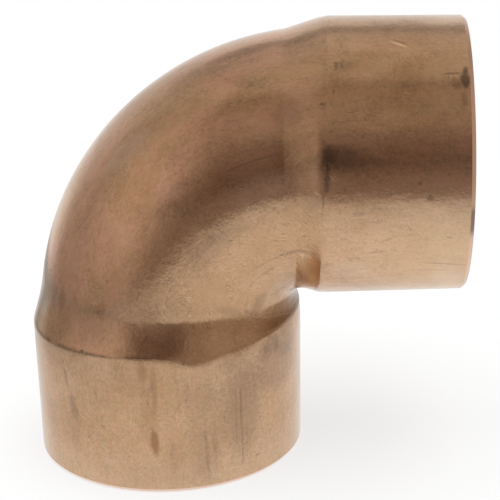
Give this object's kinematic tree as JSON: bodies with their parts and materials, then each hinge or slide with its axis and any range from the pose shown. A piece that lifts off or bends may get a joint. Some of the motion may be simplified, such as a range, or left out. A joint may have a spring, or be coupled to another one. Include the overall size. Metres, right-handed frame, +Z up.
{
  "type": "pipe elbow",
  "caption": "Right-angle copper pipe elbow: a tight round bend between equal plain sockets, each widened through a conical shoulder to take a tube end for soldering.",
  "frame": {"origin": "centre of the lower socket's mouth, on the plane of its rim", "axes": "+Z up along the lower socket's axis, -Z out of the lower mouth, +X along the upper socket's axis and out of its mouth, +Y away from the picture's viewer"},
  "size_m": [0.1137, 0.0702, 0.1137],
  "materials": {
    "copper": "satin, lightly tarnished copper"
  },
  "bodies": {
    "root": {"lower_socket": "copper", "bend": "copper", "upper_socket": "copper"}
  },
  "joints": []
}
